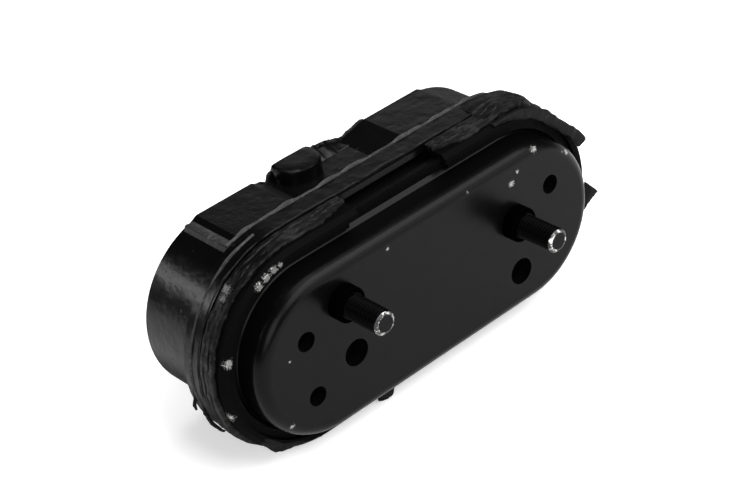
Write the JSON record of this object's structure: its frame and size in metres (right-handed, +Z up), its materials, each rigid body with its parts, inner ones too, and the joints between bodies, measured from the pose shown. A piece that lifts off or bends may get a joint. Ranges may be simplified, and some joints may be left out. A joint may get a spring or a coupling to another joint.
{
  "type": "engine mount",
  "caption": "Obround interlocking engine mount: pressed front cup with studs, clinched steel ring and a rear can in a moulded rubber jacket, rubber bonded between.",
  "frame": {"origin": "centre of the front cup's flat face", "axes": "+X along the mount to the viewer's right of the front face, +Y back from the front face to the rear plate, +Z up with the mount standing on its long side"},
  "size_m": [0.1936, 0.1131, 0.0896],
  "materials": {
    "painted_steel": "semi-matt black dip coating, chipped to bare metal along the rim",
    "stud_steel": "dark phosphate, bare and bright on the end chamfer",
    "core_rubber": "matt black bonded rubber",
    "skin_rubber": "worn black rubber skin, torn and dusty",
    "jacket_rubber": "moulded black rubber with a soft sheen and rubbed patches"
  },
  "bodies": {
    "root": {"front_cup": "painted_steel", "rear_can": "painted_steel", "clinch_ring": "painted_steel", "front_left_stud": "stud_steel", "front_right_stud": "stud_steel", "rear_left_stud": "stud_steel", "rear_right_stud": "stud_steel", "front_left_collar": "stud_steel", "front_right_collar": "stud_steel", "rubber_core": "core_rubber", "rebound_pad_left": "core_rubber", "rebound_pad_right": "core_rubber", "band_skin_left": "skin_rubber", "band_skin_right": "skin_rubber", "torn_strip": "skin_rubber", "rubber_jacket": "jacket_rubber"}
  },
  "joints": []
}
